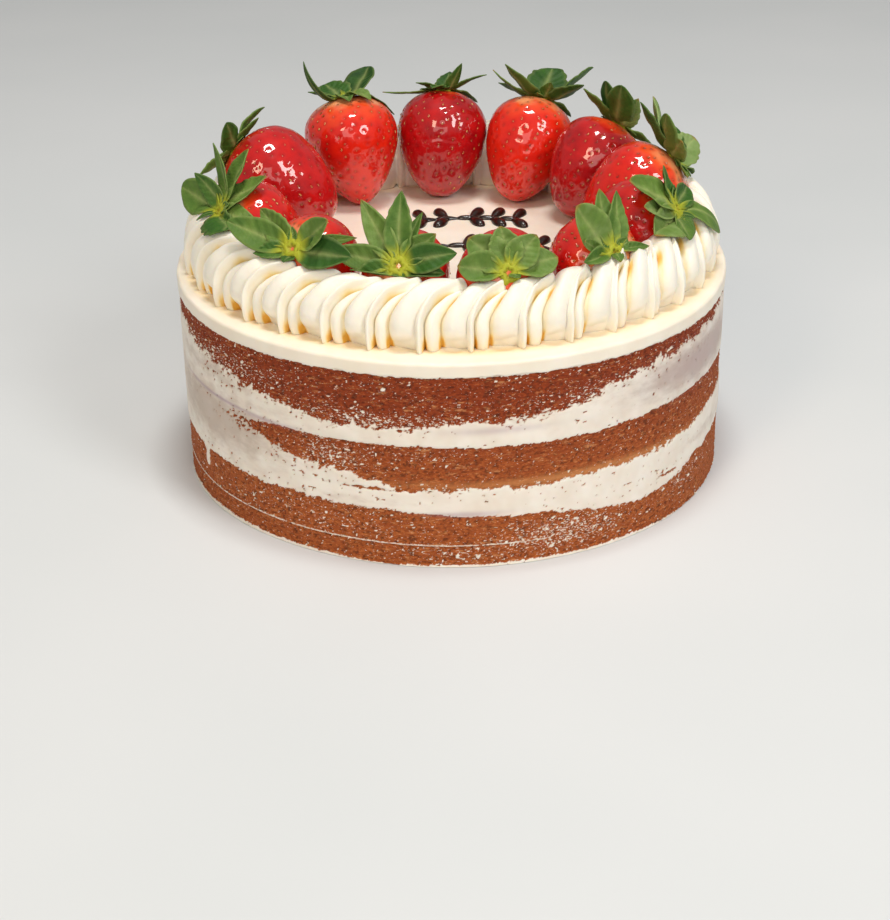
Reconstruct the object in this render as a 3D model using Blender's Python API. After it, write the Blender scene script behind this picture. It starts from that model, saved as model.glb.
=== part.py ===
"""Strawberry layer cake: scraped sponge layers with cream between them, a piped
cream border on the top and a ring of whole strawberries leaning on the border.

The origin is the middle of the flat underside, +Z is up and -Y is the front."""

import math
import random
from dataclasses import dataclass

import bmesh
import bpy
from mathutils import Matrix, Vector

MM = 0.001
GAP = 0.3 * MM

# The cake body, from the board up: name, height of its top and finish
CAKE_RADIUS = 98.0 * MM
LAYERS = (
    ("sponge_base", 7.0 * MM, "sponge"),
    ("filling_thin", 8.2 * MM, "filling"),
    ("sponge_low", 20.0 * MM, "sponge"),
    ("filling_low", 27.5 * MM, "filling"),
    ("sponge_middle", 44.0 * MM, "sponge"),
    ("filling_high", 49.0 * MM, "filling"),
    ("sponge_high", 68.0 * MM, "sponge"),
)
COAT_TOP = 73.0 * MM
COAT_RADIUS = CAKE_RADIUS + 0.5 * MM
COAT_EDGE = 1.2 * MM
SIDE_SEGMENTS = 64
SIDE_WAVER = 0.35 * MM

# The piped border: its ring sits a little towards the back of the cake
BORDER_FOOT = GAP + COAT_TOP
BORDER_OUTER = 93.0 * MM
BORDER_SHIFT = 4.7 * MM
BORDER_HALF_WIDTH = 10.5 * MM
BORDER_HEIGHT = 22.5 * MM
BORDER_HEIGHT_RISE = 1.8 * MM
BORDER_BELLY = 2.0 * MM
SHELLS = 34
SHELL_MAIN_SHARE = 0.62
SHELL_GROOVE = 0.70
SHELL_SWEEP = 0.34
SHELL_TRAIL = 0.10
SHELL_COLUMNS = (0.0, 0.14, 0.31, 0.48, 0.62, 0.74, 0.88)
SECTION_ROWS = 9
PRESS_CLEARANCE = 1.0 * MM

# The strawberries and their leaves
BERRY_SEGMENTS = 12
BERRY_RINGS = 8
BERRY_TAPER = 0.33
OUTLINE_STEPS = 48
LEAF_THICKNESS = 0.8 * MM
LEAF_CLEARANCE = 1.1 * MM
LEAF_STATIONS = ((0.0, 0.55), (0.28, 0.95), (0.55, 1.0), (0.8, 0.62), (1.0, 0.0))
LEAF_BASE_RADIUS = 3.4 * MM
HUB_RISE = 1.6 * MM
HUB_ROOM = 5.0 * MM

# The piped chocolate ornament: two arched sprays of drops
SPRAYS = (
    # middle x, middle y, half length and pairs of drops
    (7.0 * MM, 39.0 * MM, 20.0 * MM, 5),
    (4.0 * MM, 9.0 * MM, 31.0 * MM, 7),
)
SPRAY_ARCH = 3.0 * MM
STEM_RADIUS = 1.5 * MM
DROP_LENGTH = 10.4 * MM
DROP_WIDTH = 4.8 * MM
DROP_HEIGHT = 2.5 * MM

FINISHES = {
    # colour as sRGB hex, roughness
    "sponge": ("#87502A", 0.85),
    "filling": ("#F1E8D9", 0.55),
    "coat": ("#FAF2E7", 0.5),
    "border": ("#FBF4E4", 0.5),
    "berry": ("#C01A18", 0.15),
    "leaf": ("#5C8A3A", 0.6),
}


@dataclass
class Berry:
    """One strawberry. Its tip stands on the cake and its leafy end leans outwards."""

    name: str
    tip: tuple
    lean: float
    facing: float
    length: float
    width: float
    leaves: tuple

    def __post_init__(self):
        lean, facing = math.radians(self.lean), math.radians(self.facing)
        self.length *= MM
        self.width *= MM
        self.axis = Vector((math.sin(lean) * math.sin(facing), -math.sin(lean) * math.cos(facing), math.cos(lean)))
        self.up = (Vector((0, 0, 1)) - self.axis * self.axis.z).normalized()
        self.right = self.up.cross(self.axis)
        self.widest = max(self.bulge(math.pi * i / 90) for i in range(91))
        self.outline = [self.outline_point(math.pi * i / OUTLINE_STEPS) for i in range(OUTLINE_STEPS + 1)]
        self.origin = Vector((self.tip[0] * MM, self.tip[1] * MM, 0.0))
        lowest = min(point.z for ring in self.rings() for point in ring)
        self.origin.z = COAT_TOP + GAP - min(lowest, 0.0)
        self.hub = self.origin + self.axis * (self.length * 0.98 + LEAF_CLEARANCE)

    @staticmethod
    def bulge(angle):
        """Share of the width, from the tip at 0 to the leafy end at pi."""
        return math.sin(angle) * (1.0 - BERRY_TAPER * math.cos(angle))

    def ring(self, angle):
        """Points of one ring round the berry, a little out of round."""
        along, radius = self.outline_point(angle)
        points = []
        for k in range(BERRY_SEGMENTS):
            turn = 2.0 * math.pi * k / BERRY_SEGMENTS
            lump = 1.0 + 0.015 * math.sin(2.0 * turn + self.facing) + 0.01 * math.sin(3.0 * turn + self.lean)
            side = self.right * math.sin(turn) + self.up * math.cos(turn)
            points.append(self.origin + self.axis * along + side * radius * lump)
        return points

    def rings(self):
        return [self.ring(math.pi * (i + 1) / (BERRY_RINGS + 1)) for i in range(BERRY_RINGS)]

    def outline_point(self, angle):
        """Distance from the tip along the axis, and radius there."""
        return self.length * (1.0 - math.cos(angle)) / 2.0, self.width / 2.0 * self.bulge(angle) / self.widest

    def depth(self, point):
        """How far a point lies inside the berry, less than zero outside it, and the way out."""
        offset = point - self.origin
        along = offset.dot(self.axis)
        side = offset - self.axis * along
        radial = side.length
        gap, near_along, near_radius = min((math.hypot(along - u, radial - r), u, r) for u, r in self.outline)
        share = max(-1.0, min(1.0, 1.0 - 2.0 * along / self.length))
        inside = abs(share) < 1.0 and radial < self.outline_point(math.acos(share))[1]
        way = self.axis * (along - near_along) + side.normalized() * (radial - near_radius)
        return (gap, -way.normalized()) if inside else (-gap, way.normalized())


# Tip x and y (mm), lean, facing (degrees, 0 at the front and 90 on the right), length and
# width (mm), then the leaves: clock angle as seen from outside, length (mm) and lift
BERRIES = (
    Berry("front_left", (-11.0, -38.5), 61, -11, 36.5, 29.0,
          ((-112, 18, 5), (-76, 23, 0), (-38, 24, -5), (-5, 24, 5), (24, 19, -5), (52, 16, 0), (84, 19, 20))),
    Berry("front_right", (15.5, -46.0), 63, 5, 34.0, 31.5,
          ((-84, 18, 15), (-42, 18, 0), (6, 16, 5), (62, 19, -5), (120, 13, 25))),
    Berry("right_front", (37.5, -32.0), 64, 30, 35.0, 30.5,
          ((-88, 15, 25), (-50, 22, 25), (-14, 21, 5), (24, 22, 5), (82, 17, 5))),
    Berry("right", (45.0, -16.0), 59, 74, 38.5, 32.5,
          ((-138, 15, 5), (-98, 20, -15), (-58, 22, -12), (-18, 22, 12), (76, 14, 30), (134, 22, 25))),
    Berry("right_back", (49.0, 8.0), 49, 98, 41.5, 33.0,
          ((-130, 13, 10), (58, 24, 15), (96, 22, 30), (134, 20, 45), (178, 14, 30))),
    Berry("back_right", (42.5, 34.5), 42, 126, 38.5, 34.5,
          ((-150, 18, 10), (22, 20, 25), (64, 20, 40), (120, 14, 20))),
    Berry("back_mid_right", (23.0, 55.0), 32, 146, 40.5, 33.5,
          ((-160, 18, -10), (-122, 23, 50), (-84, 22, 30), (94, 24, 8), (136, 22, 38))),
    Berry("back", (-4.5, 62.0), 22, 172, 40.5, 34.5,
          ((-152, 18, -10), (-110, 21, 55), (92, 24, -5), (134, 14, 25), (176, 18, 0))),
    Berry("back_mid_left", (-33.5, 56.0), 15, -142, 41.5, 35.0,
          ((-150, 21, 42), (-104, 22, -25), (22, 15, -35), (98, 23, 50), (160, 18, 0))),
    Berry("back_left", (-44.0, 21.5), 58, -106, 43.5, 38.0,
          ((-104, 17, 0), (-38, 20, 15), (4, 15, 5), (52, 15, 20), (124, 16, 20), (176, 16, 5))),
    Berry("left", (-53.5, -9.5), 57, -71, 33.0, 33.0,
          ((-98, 22, 20), (-62, 17, 32), (-28, 23, 20), (8, 21, 5), (42, 20, -8), (78, 17, -10), (114, 18, 0))),
    Berry("left_front", (-36.0, -33.5), 55, -33, 35.5, 31.0,
          ((-88, 25, 10), (-48, 19, 8), (34, 18, 20), (68, 22, 0), (102, 22, 5))),
)


def clear_scene():
    for item in list(bpy.data.objects):
        bpy.data.objects.remove(item, do_unlink=True)


def linear(hex_colour):
    """An sRGB hex colour as linear red, green, blue and alpha."""
    channels = [int(hex_colour[i:i + 2], 16) / 255.0 for i in (1, 3, 5)]
    return [c / 12.92 if c <= 0.04045 else ((c + 0.055) / 1.055) ** 2.4 for c in channels] + [1.0]


def finish(name):
    material = bpy.data.materials.get(name)
    if material is None:
        colour, roughness = FINISHES[name]
        material = bpy.data.materials.new(name)
        material.use_nodes = True
        shader = material.node_tree.nodes["Principled BSDF"]
        shader.inputs["Base Color"].default_value = linear(colour)
        shader.inputs["Roughness"].default_value = roughness
        shader.inputs["Metallic"].default_value = 0.0
        material.diffuse_color = linear(colour)
    return material


def add_object(name, mesh_builder, finish_name, smooth_degrees=40.0):
    """Turn a bmesh into a named object with its finish."""
    mesh = bpy.data.meshes.new(name)
    bmesh.ops.recalc_face_normals(mesh_builder, faces=mesh_builder.faces)
    mesh_builder.to_mesh(mesh)
    mesh_builder.free()
    mesh.shade_smooth()
    mesh.set_sharp_from_angle(angle=math.radians(smooth_degrees))
    mesh.materials.append(finish(finish_name))
    item = bpy.data.objects.new(name, mesh)
    bpy.context.scene.collection.objects.link(item)
    return item


# The layers of the cake

def side_waver(turn):
    """How far the scraped side wanders in and out round the cake."""
    return SIDE_WAVER * (math.sin(3.0 * turn + 0.4) + 0.6 * math.sin(7.0 * turn + 1.9)) / 1.6


def disc(bottom, top, radius, edge=0.0):
    """A round slab whose side follows the scraped side of the cake."""
    slab = bmesh.new()
    bmesh.ops.create_cone(slab, segments=SIDE_SEGMENTS, radius1=radius, radius2=radius, depth=top - bottom,
                          cap_ends=True, cap_tris=False)
    bmesh.ops.translate(slab, verts=slab.verts, vec=(0, 0, (top + bottom) / 2.0))
    for vert in slab.verts:
        turn = math.atan2(vert.co.x, -vert.co.y)
        scale = 1.0 + side_waver(turn) / radius
        vert.co.x *= scale
        vert.co.y *= scale
    if edge > 0.0:
        rim = [e for e in slab.edges if all(v.co.z > top - 1e-6 for v in e.verts)]
        bmesh.ops.bevel(slab, geom=rim, offset=edge, affect="EDGES", segments=1, profile=0.5, material=-1)
    return slab


def build_layers():
    bottom = 0.0
    for name, top, finish_name in LAYERS:
        add_object(name, disc(bottom, top, CAKE_RADIUS), finish_name)
        bottom = top + GAP
    return bottom


# The chocolate ornament, piped on the top coat

def half_sunk_ball(name, place, heading, size):
    """A low drop of chocolate that reaches just into the coat."""
    ball = bmesh.new()
    bmesh.ops.create_icosphere(ball, subdivisions=1, radius=0.5)
    turn = Matrix.Rotation(heading, 4, "Z") @ Matrix.Diagonal((*size, 1.0))
    bmesh.ops.transform(ball, matrix=Matrix.Translation(place) @ turn, verts=ball.verts)
    return add_object(name, ball, "coat")


def spray_point(spray, share):
    """A point of the spray's arched stem, at -1 to 1 along its length."""
    mid_x, mid_y, half, _ = spray
    return Vector((mid_x + half * share, mid_y - SPRAY_ARCH * share * share, COAT_TOP + 0.2 * MM))


def spray_pieces(spray):
    """The stem of one spray, as a chain of long beads, and its pairs of drops."""
    pairs = spray[3]
    pieces = []
    for k in range(pairs):
        share = (2.0 * k + 1.0) / pairs - 1.0
        place = spray_point(spray, share)
        slope = math.atan2(-2.0 * SPRAY_ARCH * share, spray[2])
        link = (2.6 * spray[2] / pairs, 2.0 * STEM_RADIUS, 2.0 * STEM_RADIUS)
        pieces.append(half_sunk_ball("stem", place, slope, link))
        outwards = 1.0 if share >= 0.0 else -1.0
        for side in (-1.0, 1.0):
            heading = side * math.radians(62) if outwards > 0 else math.pi - side * math.radians(62)
            reach = Vector((math.cos(heading), math.sin(heading), 0.0)) * DROP_LENGTH * 0.5
            drop = (DROP_LENGTH, DROP_WIDTH, 2.0 * DROP_HEIGHT)
            pieces.append(half_sunk_ball("drop", place + reach, heading, drop))
    return pieces


def build_top_coat(bottom):
    coat = add_object("top_coat", disc(bottom, COAT_TOP, COAT_RADIUS, COAT_EDGE), "coat")
    pieces = [piece for spray in SPRAYS for piece in spray_pieces(spray)]
    group = bpy.data.collections.new("ornament")
    bpy.context.scene.collection.children.link(group)
    for piece in pieces:
        bpy.context.scene.collection.objects.unlink(piece)
        group.objects.link(piece)
    union = coat.modifiers.new("ornament", "BOOLEAN")
    union.operation = "UNION"
    union.operand_type = "COLLECTION"
    union.collection = group
    union.solver = "EXACT"
    graph = bpy.context.evaluated_depsgraph_get()
    fused = bpy.data.meshes.new_from_object(coat.evaluated_get(graph))
    coat.modifiers.clear()
    coat.data = fused
    for piece in pieces:
        bpy.data.objects.remove(piece, do_unlink=True)
    bpy.data.collections.remove(group)


# The piped border

def border_core(turn):
    """Middle of the border's outer half at a turn round the cake, and the ring's own height."""
    outer = BORDER_OUTER - BORDER_SHIFT * math.cos(turn)
    height = BORDER_HEIGHT - BORDER_HEIGHT_RISE * math.cos(turn)
    return outer - 3.5 * MM, outer - BORDER_HALF_WIDTH + BORDER_BELLY, height


def dome(turn, share, lobe):
    """A point of the border's section, from the inner foot at 0 to the outer foot at 1."""
    _, middle, height = border_core(turn)
    angle = math.radians(205.0 - 230.0 * share)
    belly_height = BORDER_FOOT + 0.30 * height
    reach = BORDER_HALF_WIDTH * math.cos(angle) * lobe
    rise = (height * 0.70 if angle >= 0.0 and angle <= math.pi else height * 0.71) * math.sin(angle) * lobe
    z = max(belly_height + rise, BORDER_FOOT)
    return middle + reach, z


def lobe_size(position, share, rank):
    """How far out the border stands at a position along one shell, from 0 to 1."""
    level = 1.0 if rank else 0.86 + 0.10 * max(0.0, share - 0.45)
    start, width = (0.0, SHELL_MAIN_SHARE) if rank else (SHELL_MAIN_SHARE, 1.0 - SHELL_MAIN_SHARE)
    across = 2.0 * (position - start) / width - 1.0
    return SHELL_GROOVE + (level - SHELL_GROOVE) * math.sqrt(max(0.0, 1.0 - across * across))


def sweep(share):
    """How far a shell's ridges swing back between the crest and the outer foot."""
    fall = min(1.0, max(0.0, (share - 0.38) / 0.45))
    eased = fall * fall * (3.0 - 2.0 * fall)
    return SHELL_SWEEP - (SHELL_SWEEP + SHELL_TRAIL) * eased + 0.05 * max(0.0, share - 0.8)


def touches(berry, point):
    """Whether a point lies in the berry, in its leafy hub or close to either."""
    return berry.depth(point)[0] > -PRESS_CLEARANCE or (berry.hub - point).length < HUB_ROOM


def pressed(point, core):
    """Draw a border point towards its core until it clears every strawberry."""
    share = 1.0
    place = point
    near = [b for b in BERRIES if (b.origin + b.axis * b.length * 0.5 - point).length < b.length]
    while share > 0.06 and any(touches(berry, place) for berry in near):
        share -= 0.02
        place = core + (point - core) * share
    return place


def build_border():
    dice = random.Random(7)
    strip = bmesh.new()
    starts = [k + 0.16 * (dice.random() - 0.5) for k in range(SHELLS)]
    starts.append(starts[0] + SHELLS)
    sizes = [0.95 + 0.10 * dice.random() for _ in range(SHELLS)]
    columns = []
    for k in range(SHELLS):
        for position in SHELL_COLUMNS:
            column = []
            for row in range(SECTION_ROWS):
                share = row / (SECTION_ROWS - 1.0)
                span = starts[k + 1] - starts[k]
                turn = 2.0 * math.pi * (starts[k] + position * span + sweep(share)) / SHELLS
                lobe = lobe_size(position, share, position < SHELL_MAIN_SHARE)
                if 0.0 < position and position != SHELL_MAIN_SHARE:
                    lobe *= sizes[k]
                radius, z = dome(turn, share, lobe)
                outwards = Vector((math.sin(turn), -math.cos(turn), 0.0))
                core = outwards * border_core(turn)[0] + Vector((0, 0, BORDER_FOOT + 4.5 * MM))
                place = pressed(outwards * radius + Vector((0, 0, z)), core)
                if row in (0, SECTION_ROWS - 1):
                    place.z = BORDER_FOOT
                column.append(strip.verts.new(place))
            columns.append(column)
    for k, column in enumerate(columns):
        beside = columns[(k + 1) % len(columns)]
        for row in range(SECTION_ROWS):
            after = (row + 1) % SECTION_ROWS
            strip.faces.new((column[row], column[after], beside[after], beside[row]))
    add_object("cream_border", strip, "border", 50.0)


# The strawberries

def build_berry(berry):
    fruit = bmesh.new()
    rings = [[fruit.verts.new(point) for point in ring] for ring in berry.rings()]
    tip = fruit.verts.new(berry.origin)
    crown = fruit.verts.new(berry.origin + berry.axis * berry.length * 0.985)
    for k in range(BERRY_SEGMENTS):
        after = (k + 1) % BERRY_SEGMENTS
        fruit.faces.new((tip, rings[0][k], rings[0][after]))
        fruit.faces.new((crown, rings[-1][after], rings[-1][k]))
        for ring, beyond in zip(rings, rings[1:]):
            fruit.faces.new((ring[k], beyond[k], beyond[after], ring[after]))
    add_object("strawberry_" + berry.name, fruit, "berry", 80.0)


def clear_of_food(point):
    """Move a leaf's point out of the berries, the border and the coat."""
    for _ in range(6):
        for berry in BERRIES:
            depth, way_out = berry.depth(point)
            if depth > -LEAF_CLEARANCE:
                point = point + way_out * (depth + LEAF_CLEARANCE)
        turn = math.atan2(point.x, -point.y)
        _, middle, height = border_core(turn)
        outwards = Vector((math.sin(turn), -math.cos(turn), 0.0))
        centre = outwards * middle + Vector((0, 0, BORDER_FOOT + 0.30 * height))
        offset = point - centre
        wide = BORDER_HALF_WIDTH * 1.05 + LEAF_CLEARANCE
        tall = height * 0.735 + LEAF_CLEARANCE
        measure = math.hypot(offset.dot(outwards) / wide, offset.z / tall)
        if offset.z > -0.3 * height and 1e-6 < measure < 1.0:
            point = centre + offset / measure
        point.z = max(point.z, COAT_TOP + GAP + LEAF_THICKNESS)
    return point


def room_beside(berry, clock):
    """Half the angle from a leaf to its nearer neighbour, less a little air."""
    others = [abs((other[0] - clock + 180.0) % 360.0 - 180.0) for other in berry.leaves if other[0] != clock]
    return math.radians(0.44 * min(others))


def leaf_rows(berry, clock, length, lift):
    """Left edge, rib and right edge of one leaf, at each station, and its tip."""
    room = math.tan(room_beside(berry, clock))
    clock, lift = math.radians(clock), math.radians(lift)
    length *= MM
    outwards = berry.up * math.cos(clock) + berry.right * math.sin(clock)
    across = outwards.cross(berry.axis).normalized()
    half = min(4.3 * MM, 0.19 * length)
    rows = []
    for share, width in LEAF_STATIONS:
        run = LEAF_BASE_RADIUS + (length - LEAF_BASE_RADIUS) * share * math.cos(lift)
        rise = length * (share * math.sin(lift) + 0.30 * share * (1.0 - share))
        rib = berry.hub + outwards * run + berry.axis * rise
        wide = min(half * width, run * room)
        fold = berry.axis * 0.25 * wide
        wave = berry.axis * 0.12 * wide * math.sin(9.0 * share + 3.0 * clock)
        spread = across * wide
        row = [rib - spread + fold + wave, rib, rib + spread + fold - wave] if width else [rib]
        rows.append([clear_of_food(point) for point in row] if share else row)
    return rows


def build_leaves(berry):
    """The star of leaves at the berry's end: one thin wavy sheet given thickness."""
    sheet = bmesh.new()
    crown = sheet.verts.new(berry.hub + berry.axis * HUB_RISE)
    hub_ring = []
    for leaf in sorted(berry.leaves):
        rows = [[sheet.verts.new(point) for point in row] for row in leaf_rows(berry, *leaf)]
        hub_ring += rows[0]
        for row, beyond in zip(rows, rows[1:]):
            if len(beyond) == 1:
                sheet.faces.new((row[0], row[1], beyond[0]))
                sheet.faces.new((row[1], row[2], beyond[0]))
            else:
                for k in (0, 1):
                    sheet.faces.new((row[k], row[k + 1], beyond[k + 1], beyond[k]))
    for k, vert in enumerate(hub_ring):
        sheet.faces.new((crown, hub_ring[(k + 1) % len(hub_ring)], vert))
    bmesh.ops.recalc_face_normals(sheet, faces=sheet.faces)
    bmesh.ops.triangulate(sheet, faces=sheet.faces)
    item = add_object("leaves_" + berry.name, sheet, "leaf", 60.0)
    skin = item.modifiers.new("thickness", "SOLIDIFY")
    skin.thickness = LEAF_THICKNESS
    skin.offset = 0.0


clear_scene()
coat_bottom = build_layers()
build_top_coat(coat_bottom)
build_border()
for strawberry in BERRIES:
    build_berry(strawberry)
    build_leaves(strawberry)
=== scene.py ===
"""Looks of the strawberry layer cake: a scraped sponge side with smeared cream, a piped
cream border, glazed strawberries with their leaves, and a piped chocolate ornament.

Lengths are in metres unless a name says mm. The front is -Y. A turn is counted round the
cake from the front, towards +X on the right. Tables hold millimetres and degrees."""

import math
import random
from dataclasses import dataclass, field

import bmesh
import bpy
import numpy as np
from mathutils import Matrix, Vector, kdtree


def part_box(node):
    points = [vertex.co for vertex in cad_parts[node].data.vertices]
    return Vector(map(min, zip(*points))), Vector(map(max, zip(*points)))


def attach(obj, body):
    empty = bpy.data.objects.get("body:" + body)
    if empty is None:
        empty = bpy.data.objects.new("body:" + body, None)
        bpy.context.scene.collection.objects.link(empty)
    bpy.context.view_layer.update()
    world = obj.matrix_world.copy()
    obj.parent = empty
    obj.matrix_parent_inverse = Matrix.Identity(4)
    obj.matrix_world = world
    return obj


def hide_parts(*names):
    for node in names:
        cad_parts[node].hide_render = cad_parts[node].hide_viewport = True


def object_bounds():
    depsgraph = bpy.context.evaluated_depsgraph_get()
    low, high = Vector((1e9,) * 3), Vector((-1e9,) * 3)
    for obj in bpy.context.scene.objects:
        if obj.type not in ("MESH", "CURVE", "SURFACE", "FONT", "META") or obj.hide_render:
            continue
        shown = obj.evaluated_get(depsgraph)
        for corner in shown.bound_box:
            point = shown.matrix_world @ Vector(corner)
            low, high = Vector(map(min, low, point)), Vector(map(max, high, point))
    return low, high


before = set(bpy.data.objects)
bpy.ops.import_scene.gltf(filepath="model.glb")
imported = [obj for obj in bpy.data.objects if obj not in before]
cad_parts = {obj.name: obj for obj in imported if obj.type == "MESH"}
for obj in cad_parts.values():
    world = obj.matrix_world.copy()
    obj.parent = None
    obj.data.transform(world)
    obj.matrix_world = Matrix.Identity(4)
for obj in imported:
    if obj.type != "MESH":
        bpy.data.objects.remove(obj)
CAD_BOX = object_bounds()

MM = 0.001

MERGE = 0.01 * MM

# Sizes read from the frame, less the room that the relief takes
COAT_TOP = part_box("cream_border")[0].z - 0.3 * MM
SIDE_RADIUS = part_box("sponge_low")[1].x - 0.5 * MM
COAT_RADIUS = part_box("top_coat")[1].x - 0.45 * MM
RIM_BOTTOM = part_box("top_coat")[0].z

# The scraped side
SIDE_STEPS = 1200
ROW_HEIGHT = 0.5 * MM
CREAM_PROUD = 0.30 * MM
SPONGE_SUNK = 0.20 * MM
PORE_DEPTH = 0.35 * MM
SIDE_WAVER = 0.35 * MM
SHARP_ANGLE = math.radians(62)
SHELF = 3.0 * MM
THIN_LINE_TURN = -45.0
THIN_LINE_SOFT = 0.26

# The smooth coat
COAT_STEPS = 480
COAT_ROWS = 60
RIM_ROWS = 8
RIM_ROUND = 1.0 * MM

# Where the sponge shows: turn, bottom and top of each bare band. A bottom above the top
# means that the band is smeared over there.
BARE_BANDS = {
    "high": dict(soft=(2.6, 0.45), marks=(
        (-180, 57, 68), (-155, 53, 68), (-130, 58, 68), (-105, 63, 68), (-90, 64, 68), (-70, 60, 68),
        (-52, 55.5, 68), (-40, 53, 68), (-30, 49.8, 68), (-10, 49.2, 68), (10, 51.5, 68), (22, 54, 68),
        (30, 57, 68), (40, 61, 68), (52, 63, 68), (62, 63.5, 68), (74, 66, 68), (92, 64, 68), (115, 59, 68),
        (135, 53, 68), (158, 55, 68), (180, 57, 68))),
    "middle": dict(soft=(1.6, 0.5), marks=(
        (-180, 31, 43.6), (-150, 29, 44), (-125, 33, 43), (-108, 38, 41), (-90, 43, 37), (-62, 43, 37),
        (-50, 42.0, 38.8), (-44, 39.4, 41.6), (-39, 36.4, 43.2), (-33, 34.4, 43.6), (-24, 33, 43.6),
        (-10, 28.6, 43.8), (0, 28, 43.6), (20, 28.4, 43.2), (40, 28.8, 44), (55, 30, 44.6), (68, 32.5, 45),
        (90, 30, 44), (120, 35, 43.6), (150, 29, 44), (180, 31, 43.6))),
    "low": dict(soft=(0.5, 0.9), marks=(
        (-180, 0, 20), (-150, 0, 17), (-120, 0, 19), (-75, 0, 20.4), (-62, 0.9, 20.5), (-30, 0.9, 20.5),
        (-14, 0, 20.2), (0, 0.8, 19), (18, 0.8, 17.6), (30, 0.8, 14.5), (40, 0.7, 12.5), (50, 0, 14),
        (60, 0, 18), (75, 0, 20), (95, 0, 20), (130, 0, 15), (155, 0, 18), (180, 0, 20))),
}
# Sponge left showing through the cream: turn, height, half width, half height and strength
BARE_PATCHES = ((47, 17.6, 5.0, 1.1, 2.2), (-20, 27.4, 9.0, 0.9, 2.0), (59, 16.0, 3.0, 3.0, 1.0),
                (-63, 42.6, 5.0, 0.6, 1.2), (170, 35.0, 12.0, 2.0, 1.5), (110, 16.0, 10.0, 1.2, 2.0))
# Cream dabs over the sponge
CREAM_DABS = ((-62, 16.5, 1.1, 4.5, 3.0), (3, 50.3, 5.0, 1.6, 1.6), (64, 15.0, 2.0, 3.5, 1.2),
              (28, 44.3, 2.0, 0.9, 2.0), (-140, 12.0, 2.0, 5.0, 2.0))
# How thickly cream flecks sit in the pores, by the same five numbers as all the tables below
FLECKS = ((0, 60.0, 400, 30, 0.20), (-52, 59.0, 22, 5, 0.80), (-12, 52.0, 26, 3.5, 0.95),
          (28, 58.0, 20, 4, 0.70), (-24, 38.0, 10, 8, 0.80), (-6, 41.0, 14, 4, 0.45), (22, 9.0, 17, 7, 1.00),
          (-30, 13.0, 34, 7, 0.45), (2, 5.0, 20, 5, 0.55), (54, 13.0, 12, 6, 0.60), (150, 55.0, 30, 6, 0.80),
          (-150, 12.0, 30, 8, 0.80))
# Where crumbs were dragged out and left dark holes in the cream
TORN_CREAM = ((-46, 39.5, 7, 3.4, 1.45), (-35, 36.0, 6, 4.0, 1.1), (-29, 32.0, 9, 2.5, 0.9),
              (-50, 52.5, 20, 3.5, 0.55), (-66, 43.0, 8, 1.6, 0.7), (-20, 28.0, 14, 2.0, 0.7),
              (-52, 22.5, 22, 2.2, 0.55), (20, 26.5, 30, 2.0, 0.4), (48, 59.0, 16, 3, 0.4),
              (45, 19.0, 12, 3, 0.6), (160, 30.0, 16, 4, 0.8), (-125, 38.0, 12, 6, 0.8))
# Thin lines of berry jam between sponge and cream
JAM_STAINS = ((-54, 44.2, 16, 0.55, 1.0), (-40, 43.8, 8, 0.8, 0.7), (2, 19.6, 7, 1.0, 0.7),
              (8, 49.3, 9, 1.2, 0.5), (140, 44.0, 16, 0.6, 0.8), (60, 54.0, 20, 7, 0.42))
# Where the cream is scraped so thin that the sponge greys it
THIN_CREAM = ((-58, 37, 26, 12, 0.95), (-60, 53, 20, 5, 0.60), (62, 54, 24, 8, 1.10),
              (66, 24, 14, 3, 0.50), (12, 53, 14, 3, 0.35), (-20, 23, 16, 2, 0.35), (120, 50, 26, 6, 0.7),
              (-120, 27, 26, 8, 0.8))
# The moist golden edge under the middle sponge
MOIST_EDGE = ((26, 29.6, 34, 1.5, 1.0), (-178, 31.0, 30, 1.5, 0.6))

# The piped border, by the same sizes as its solid. The piping ends in a peak at one turn.
BORDER_FOOT = COAT_TOP - 0.3 * MM
BORDER_OUTER = 93.0 * MM
BORDER_SHIFT = 4.7 * MM
BORDER_HALF_WIDTH = 10.5 * MM
BORDER_HEIGHT = 22.5 * MM
BORDER_HEIGHT_RISE = 1.8 * MM
BORDER_BELLY = 2.0 * MM
BORDER_LIMIT = 97.4 * MM
PEAK_TURN = 45.0
PEAK_WIDTH = 5.5
PEAK_RISE = 0.15
SHELLS = 34
SHELL_SWEEP = 0.44
SHELL_TRAIL = 0.20
SHELL_COLUMNS = 32
FAT_COLUMNS = 15
RIDGE_COLUMNS = 22
SECTION_ROWS = 84
SECTION_END = 1.16
PRESS_CLEARANCE = 0.25 * MM
CORE_OUT = 5.0 * MM
CORE_UP = 4.8 * MM
PRESS_STEP = 0.02
PRESS_LEAST = 0.09
# A shell's section is part of an oval: its middle, top and bottom as shares of the height, and
# the angles at which it starts on the inside and ends on the outside
OVAL_MIDDLE = 0.30
OVAL_ABOVE = 0.70
OVAL_BELOW = 0.71
SECTION_ANGLES = (207.0, -27.0)

# The strawberries
BERRY_SEGMENTS = 168
BERRY_RINGS = 100
BERRY_TAPER = 0.33
BERRY_BULGE = 1.0477
SEEDS_PER_BERRY = 256
SEED_VERTS = 20
SEED_LENGTH = 1.25 * MM
DIMPLE_RADIUS = 0.90 * MM
DIMPLE_DEPTH = 0.30 * MM
GOLDEN_ANGLE = math.pi * (3.0 - math.sqrt(5.0))

# The leaves
LEAF_THICKNESS = 0.35 * MM
LEAF_ROOT = 1.6 * MM
LEAF_CLEARANCE = 0.7 * MM
LEAF_STEPS = (26, 10)
# The crown at the leaves' roots, as radius and height in millimetres
CROWN = ((3.6, -0.5), (3.4, 0.5), (2.6, 1.15), (1.9, 1.3), (1.35, 0.8), (0.7, 0.3), (0.0, 0.2))
CROWN_STEPS = 28


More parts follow.
